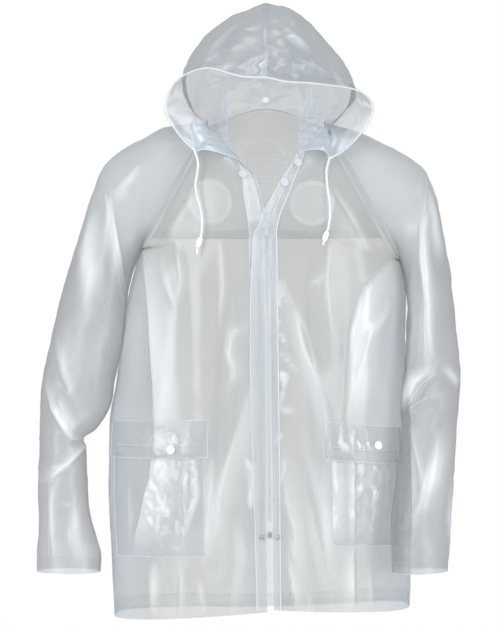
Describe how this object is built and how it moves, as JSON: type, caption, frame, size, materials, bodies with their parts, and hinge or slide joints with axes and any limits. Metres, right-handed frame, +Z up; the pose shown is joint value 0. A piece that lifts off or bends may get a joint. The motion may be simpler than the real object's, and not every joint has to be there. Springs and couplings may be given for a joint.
{
  "type": "rain jacket",
  "caption": "Clear hooded rain jacket filled out as worn: raglan sleeves, zip under a storm flap, patch pockets with snap flaps, back cape over mesh vents, hood drawcord",
  "frame": {"origin": "the middle of the base of the neck, level with the shoulder seams at the neckline", "axes": "+Z up, the jacket's front towards -Y, the wearer's right towards -X"},
  "size_m": [0.668, 0.3394, 0.9834],
  "materials": {
    "clear_film": "clear film, glossy, softly crinkled",
    "white_mesh": "white knitted mesh",
    "white_cord": "white braided cord",
    "white_plastic": "white moulded plastic",
    "zip_tape": "pale woven tape",
    "nickel": "nickel plate"
  },
  "bodies": {
    "jacket": {"front_right": "clear_film", "front_left": "clear_film", "back": "clear_film", "back_cape": "clear_film", "sleeve_right": "clear_film", "sleeve_left": "clear_film", "hood_right": "clear_film", "hood_left": "clear_film", "placket_right": "clear_film", "storm_flap": "clear_film", "pocket_right": "clear_film", "pocket_left": "clear_film", "pocket_flap_right": "clear_film", "pocket_flap_left": "clear_film", "vent_centre": "white_mesh", "vent_right": "white_mesh", "vent_left": "white_mesh", "hood_cord": "white_cord", "cord_right": "white_cord", "cord_left": "white_cord", "cord_stop_right": "white_plastic", "cord_stop_left": "white_plastic", "snap_pocket_right": "white_plastic", "snap_pocket_left": "white_plastic", "snap_hood": "white_plastic", "snap_flap_upper": "white_plastic", "snap_flap_lower": "white_plastic", "snap_band_upper": "white_plastic", "snap_band_lower": "white_plastic", "zip_tape_right": "zip_tape", "zip_tape_left": "zip_tape", "zip_chain": "white_plastic", "zip_box": "nickel", "zip_slider": "nickel"},
    "zip_tab": {"zip_pull_tab": "nickel"}
  },
  "joints": [
    {"name": "zip_tab_hinge", "type": "hinge", "parent": "jacket", "child": "zip_tab", "pos_m": [0.00011, -0.15318, -0.16668], "axis": [-1, 0, 0], "range_deg": [0, 12]}
  ]
}
